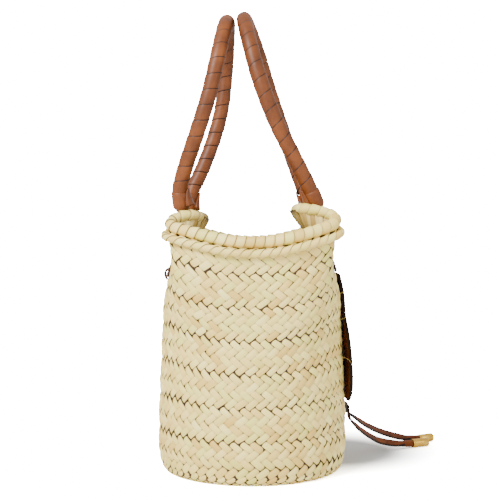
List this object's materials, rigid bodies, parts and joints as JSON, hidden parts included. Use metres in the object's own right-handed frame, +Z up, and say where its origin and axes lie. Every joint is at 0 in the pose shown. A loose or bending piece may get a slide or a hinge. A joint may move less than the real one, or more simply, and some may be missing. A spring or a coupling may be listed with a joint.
{
  "type": "bucket bag",
  "caption": "Round plaited palm bucket bag with a rolled saddle rim, leather-wrapped arched handles, a leather flap and flat leather laces with metal ferrules.",
  "frame": {"origin": "centre of the flat base's underside, on the surface the bag stands on", "axes": "+Z up from the base to the handles, +X to the front with the leather flap, +Y to the bag's left side"},
  "size_m": [0.3279, 0.2587, 0.5036],
  "materials": {
    "palm": "natural dried palm leaf, satin",
    "core": "twisted palm fibre rope, matt",
    "tan_leather": "smooth vegetable-tanned calf, satin",
    "dark_leather": "leather with dark painted edges, satin",
    "thread": "waxed thread",
    "brass": "satin gold-coloured brass"
  },
  "bodies": {
    "basket": {"basket_wall": "palm", "basket_base": "palm", "rim_upper_core": "core", "rim_upper_wrap": "palm", "rim_lower_core": "core", "rim_lower_wrap": "palm", "front_handle_near_tab": "tan_leather", "front_handle_far_tab": "tan_leather", "back_handle_near_tab": "tan_leather", "back_handle_far_tab": "tan_leather", "front_handle_near_tab_thread": "thread", "front_handle_far_tab_thread": "thread", "back_handle_near_tab_thread": "thread", "back_handle_far_tab_thread": "thread", "lace_keeper": "dark_leather", "near_lace": "dark_leather", "far_lace": "dark_leather", "near_ferrule": "brass", "far_ferrule": "brass", "back_loop": "dark_leather", "back_loop_thread": "thread"},
    "front_handle": {"front_handle_core": "core", "front_handle_cover": "tan_leather"},
    "back_handle": {"back_handle_core": "core", "back_handle_cover": "tan_leather"},
    "flap": {"flap_leather": "tan_leather", "flap_lining": "tan_leather", "flap_thread": "thread"}
  },
  "joints": [
    {"name": "front_handle_swing", "type": "hinge", "parent": "basket", "child": "front_handle", "pos_m": [0.06975, 0, 0.2865], "axis": [0, 1, 0], "range_deg": [0, 90]},
    {"name": "back_handle_swing", "type": "hinge", "parent": "basket", "child": "back_handle", "pos_m": [-0.0744, 0, 0.284], "axis": [0, -1, 0], "range_deg": [0, 90]},
    {"name": "flap_lift", "type": "hinge", "parent": "basket", "child": "flap", "pos_m": [0.0945, 0, 0.215], "axis": [0, -1, 0], "range_deg": [0, 100]}
  ]
}
